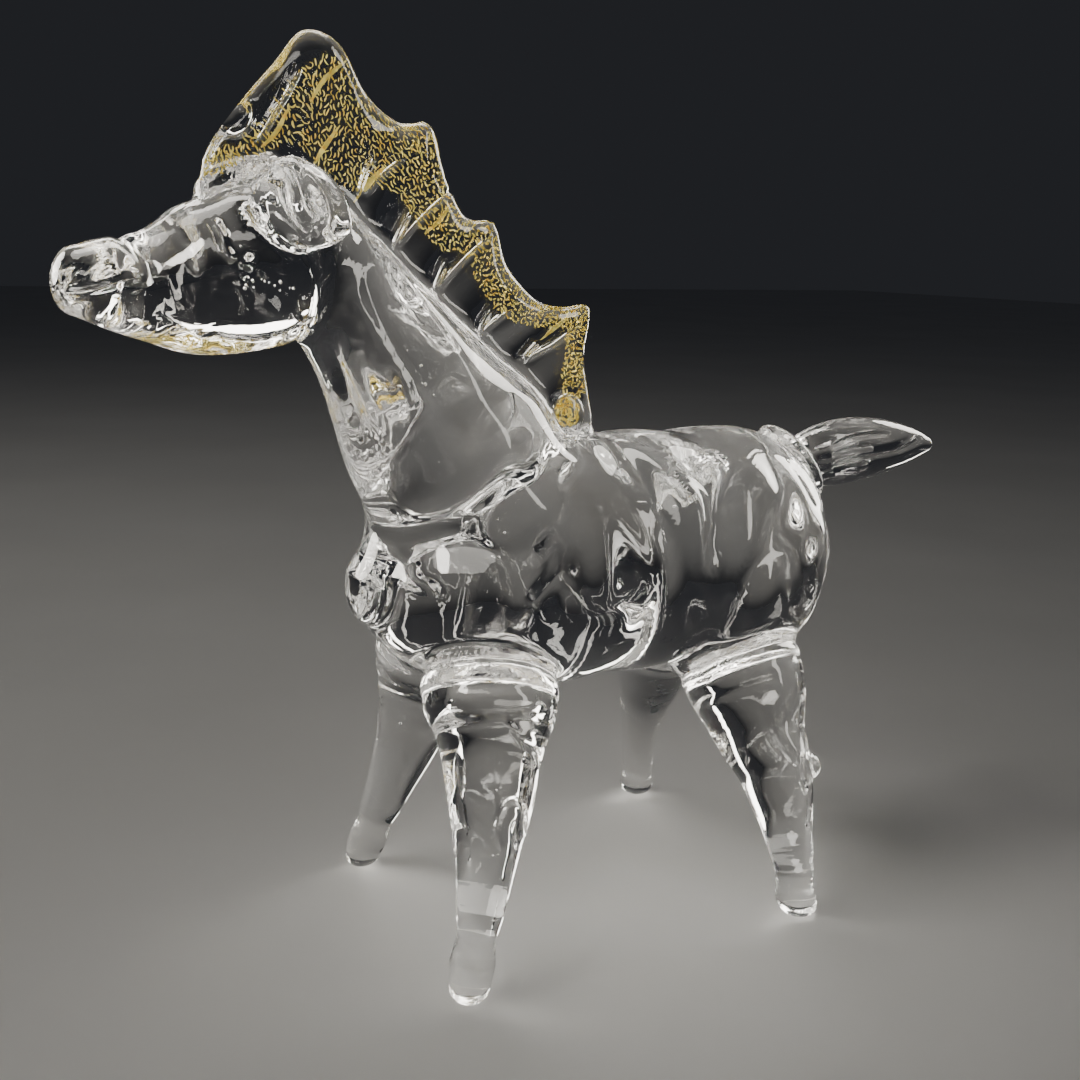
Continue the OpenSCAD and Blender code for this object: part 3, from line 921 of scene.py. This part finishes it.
def leaf_shreds():
    kept = scattered("gold_leaf", SHRED_TRIES, SHRED_GAP)
    count = len(kept)
    share = kept[:, 2]
    low = soft_step(share, *CRUMPLED)
    stream = STREAM_TURN + 0.35 * np.sin(kept[:, 0] / 4.5) + RNG.normal(0, 0.3, count)
    way = np.where(RNG.random(count) < 0.15 + 0.6 * low, RNG.uniform(0, np.pi, count), stream)
    length = RNG.uniform(*SHRED_LENGTH, count) * (1 - 0.25 * low)
    width = RNG.uniform(*SHRED_WIDTH, count) * (1 + 0.35 * low)
    curl = RNG.normal(0, 0.7, count)
    tilt = RNG.normal(0, 0.45, count)
    off = MIDDLE + RNG.uniform(-SHRED_DEPTH, SHRED_DEPTH, count)
    return shreds(kept, way, length, width, curl, tilt, off)


def leaf_folds():
    """Narrow pleats of whole leaf, made of short overlapping slips along each line."""
    places, ways, sizes = [], [], []
    for shares in FOLD_LINES:
        line = drawn("gold_leaf", shares, steps=12)
        for k in range(len(line) - 1):
            step = line[k + 1] - line[k]
            middle = k / (len(line) - 1)
            places.append(line[k])
            ways.append(np.arctan2(step[1], step[0]))
            sizes.append((2.2 * np.hypot(*step) + 0.4, 0.35 + 0.75 * np.sin(np.pi * middle)))
    places, ways, sizes = np.array(places), np.array(ways), np.array(sizes)
    count = len(places)
    curl, tilt = RNG.normal(0, 0.1, count), RNG.normal(0, 0.12, count)
    off = MIDDLE + 0.1 * (np.arange(count) % 3 - 1)   # so that neighbours overlap and don't meet
    return shreds(places, ways, sizes[:, 0], sizes[:, 1], curl, tilt, off)


def leaf_ball():
    """The leaf gathered into the rounded lump at the mane's lower end."""
    x, _, z = spot("mane_left_casing", MANE_BULB[0], 1, MANE_BULB[1])
    count = BALL_SHREDS
    radius = BALL_RADIUS * np.sqrt(RNG.random(count))
    around = RNG.uniform(0, 2 * np.pi, count)
    places = np.stack([x + radius * np.cos(around), z + radius * np.sin(around)], 1)
    depth = np.sqrt(np.maximum(0, 1 - (radius / BALL_SKIN) ** 2)) * BALL_DEPTH
    way = around + np.pi / 2 + RNG.normal(0, 0.4, count)
    length = RNG.uniform(0.9, 1.8, count)
    width = RNG.uniform(0.35, 0.6, count)
    curl = RNG.normal(0.4, 0.5, count)
    tilt = RNG.normal(0, 0.5, count)
    off = MIDDLE + depth * RNG.uniform(-1, 1, count)
    return shreds(places, way, length, width, curl, tilt, off)


def gold_piece(material):
    sets = [leaf_shreds(), leaf_folds(), leaf_ball()]
    starts = np.cumsum([0] + [len(p) for p, _ in sets])
    points = np.concatenate([p for p, _ in sets])
    tris = np.concatenate([t + s for (_, t), s in zip(sets, starts)])
    mesh = write_mesh("gold_leaf_shreds", points * MM, tris)
    mesh.materials.append(material)
    mesh.shade_flat()
    return in_scene("gold_leaf_shreds", mesh)


# ---------------------------------------------------------------- materials

def new_material(name):
    material = bpy.data.materials.new(name)
    material.use_nodes = True
    return material, material.node_tree, material.node_tree.nodes["Principled BSDF"]


def noise_ramp(tree, scale, detail, stops, stretch=(1, 1, 1)):
    """A colour that wanders between stops with object-space noise."""
    place = tree.nodes.new("ShaderNodeTexCoord")
    mapping = tree.nodes.new("ShaderNodeMapping")
    mapping.inputs["Scale"].default_value = stretch
    noise = tree.nodes.new("ShaderNodeTexNoise")
    noise.inputs["Scale"].default_value = scale
    noise.inputs["Detail"].default_value = detail
    ramp = tree.nodes.new("ShaderNodeValToRGB")
    ramp.color_ramp.elements[0].position, ramp.color_ramp.elements[0].color = stops[0]
    ramp.color_ramp.elements[1].position, ramp.color_ramp.elements[1].color = stops[-1]
    for position, colour in stops[1:-1]:
        ramp.color_ramp.elements.new(position).color = colour
    tree.links.new(place.outputs["Object"], mapping.inputs["Vector"])
    tree.links.new(mapping.outputs["Vector"], noise.inputs["Vector"])
    tree.links.new(noise.outputs["Fac"], ramp.inputs["Fac"])
    return noise, ramp


def glass_material():
    """Clear crystal with faint warm and cool cords and a slight ripple in its skin."""
    material, tree, shader = new_material("clear_glass")
    _, ramp = noise_ramp(tree, 45, 3, [(0.3, (0.97, 0.985, 1, 1)), (0.5, (1, 1, 1, 1)),
                                       (0.7, (1, 0.985, 0.955, 1))], (1, 1, 0.35))
    tree.links.new(ramp.outputs["Color"], shader.inputs["Base Color"])
    ripple = tree.nodes.new("ShaderNodeTexNoise")
    ripple.inputs["Scale"].default_value = 130
    bump = tree.nodes.new("ShaderNodeBump")
    bump.inputs["Strength"].default_value = 0.06
    bump.inputs["Distance"].default_value = 0.0006
    place = tree.nodes.new("ShaderNodeTexCoord")
    tree.links.new(place.outputs["Object"], ripple.inputs["Vector"])
    tree.links.new(ripple.outputs["Fac"], bump.inputs["Height"])
    tree.links.new(bump.outputs["Normal"], shader.inputs["Normal"])
    shader.inputs["Transmission Weight"].default_value = 1
    shader.inputs["Roughness"].default_value = 0
    shader.inputs["IOR"].default_value = GLASS_IOR
    return material


def joint_material():
    """The hidden faces where bits are fused: light goes straight through."""
    material, _, shader = new_material("fused_joint")
    shader.inputs["Alpha"].default_value = 0
    return material


def gold_material():
    """Crinkled leaf: bright yellow metal, redder where it has bunched up."""
    material, tree, shader = new_material("gold_leaf")
    noise, ramp = noise_ramp(tree, 700, 4, [(0.3, (1, 0.66, 0.1, 1)), (0.45, (1, 0.82, 0.2, 1)),
                                            (0.7, (1, 0.92, 0.36, 1))])
    tree.links.new(ramp.outputs["Color"], shader.inputs["Base Color"])
    rough = tree.nodes.new("ShaderNodeMapRange")
    rough.inputs["To Min"].default_value = 0.3
    rough.inputs["To Max"].default_value = 0.65
    tree.links.new(noise.outputs["Fac"], rough.inputs["Value"])
    tree.links.new(rough.outputs["Result"], shader.inputs["Roughness"])
    bump = tree.nodes.new("ShaderNodeBump")
    bump.inputs["Strength"].default_value = 0.5
    bump.inputs["Distance"].default_value = 0.00015
    tree.links.new(noise.outputs["Fac"], bump.inputs["Height"])
    tree.links.new(bump.outputs["Normal"], shader.inputs["Normal"])
    shader.inputs["Metallic"].default_value = 0.75
    return material


def floor_material():
    material, tree, shader = new_material("pale_floor")
    _, ramp = noise_ramp(tree, 6, 5, [(0.3, (0.66, 0.66, 0.655, 1)), (0.7, (0.72, 0.72, 0.715, 1))])
    tree.links.new(ramp.outputs["Color"], shader.inputs["Base Color"])
    shader.inputs["Roughness"].default_value = 0.55
    return material


# ---------------------------------------------------------------- room

# Soft lights: place and aim, width and height in metres, brightness in watts a square metre
# of lamp, and whether the lamp also lights the floor
LIGHTS = {
    "key": ((-0.35, 0.15, 0.95), (0, 0, 0.05), 0.45, 0.35, 20, True),
    "top": ((0.10, 0.15, 0.80), (0, 0, 0.1), 0.80, 0.30, 40, False),
    "left": ((-0.55, 0.75, 0.38), (0, 0, 0.12), 0.45, 0.60, 46, False),
    "right": ((0.85, 0.10, 0.38), (0, 0, 0.12), 0.40, 0.60, 50, False),
    "back": ((0.20, 0.95, 0.85), (0, 0, 0.12), 1.10, 0.22, 30, False),
    "mane": ((-0.42, -0.38, 0.50), (-0.04, 0, 0.17), 0.16, 0.16, 120, False),
    "front": ((-0.45, -0.75, 0.75), (0, 0, 0.12), 1.00, 0.20, 18, False),
    "front_right": ((0.60, -0.60, 0.45), (0, 0, 0.12), 0.12, 0.50, 30, False),
}


def add_lights(pieces):
    """The lamps that only make the glass sparkle are kept off the floor."""
    sparkle = bpy.data.collections.new("sparkle")
    for piece in pieces:
        sparkle.objects.link(piece)
    for name, (place, aim, width, height, brightness, on_floor) in LIGHTS.items():
        lamp = bpy.data.lights.new(name, "AREA")
        lamp.shape = "ELLIPSE"
        lamp.size, lamp.size_y = width, height
        lamp.energy = brightness * np.pi / 4 * width * height
        lamp.color = LAMP_COLOUR
        holder = in_scene(name, lamp)
        holder.location = place
        holder.rotation_euler = (Vector(aim) - Vector(place)).to_track_quat("-Z", "Y").to_euler()
        holder.visible_camera = False
        if not on_floor:
            holder.light_linking.receiver_collection = sparkle


def add_room():
    mesh = bpy.data.meshes.new("floor")
    mesh.from_pydata([(-4, -4, 0), (4, -4, 0), (4, 4, 0), (-4, 4, 0)], [], [(0, 1, 2, 3)])
    mesh.materials.append(floor_material())
    floor = in_scene("floor", mesh)
    world = bpy.data.worlds.new("studio")
    bpy.context.scene.world = world
    world.use_nodes = True
    world.node_tree.nodes["Background"].inputs["Color"].default_value = ROOM_COLOUR
    cycles = bpy.context.scene.cycles
    cycles.max_bounces = 32
    cycles.transmission_bounces = 32
    cycles.glossy_bounces = 16
    cycles.transparent_max_bounces = 64


# ---------------------------------------------------------------- making

STEEP = 0.25   # the rise between neighbouring points, in millimetres, that calls for smaller faces


def tooled_skin():
    """The fused skin, melted smooth, with the tool marks pressed into it."""
    points, tris = fused_skin()
    edges = mesh_edges(tris)
    far = distances(points)
    points = melted(points, edges, far)
    normals = vertex_normals(points, tris)
    points = points - OVERLAP * normals
    marks = tool_marks(points, normals, far)
    steep = np.abs(marks[edges[:, 0]] - marks[edges[:, 1]]) > STEEP
    need = np.zeros(len(points))
    need[edges[steep].ravel()] = 1
    need = (spread(need, edges, 2) > 0) & (far["torso"] > 1)
    points, tris, pairs = refined(points, tris, need)
    far = {n: np.concatenate([v, (v[pairs[:, 0]] + v[pairs[:, 1]]) / 2]) for n, v in far.items()}
    fresh = np.concatenate([need, np.ones(len(pairs), bool)]).astype(float)
    points = relaxed(points, mesh_edges(tris), fresh, 6)
    normals = vertex_normals(points, tris)
    points = points + (flow(points, far) - tool_marks(points, normals, far))[:, None] * normals
    return Shape(points, vertex_normals(points, tris), far, tris, np.full(len(tris), GLASS))


def hand_over(piece, node):
    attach(piece, "root")
    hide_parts(node)
    return piece


add_camera()
add_room()
solids = parted(tooled_skin())
glass_materials = [glass_material(), joint_material()]
made = [hand_over(glass_piece(node + "_glass", with_bubbles(solid, node), glass_materials),
                  node)
        for node, solid in solids.items()]
made.append(hand_over(gold_piece(gold_material()), "gold_leaf"))
add_lights(made)
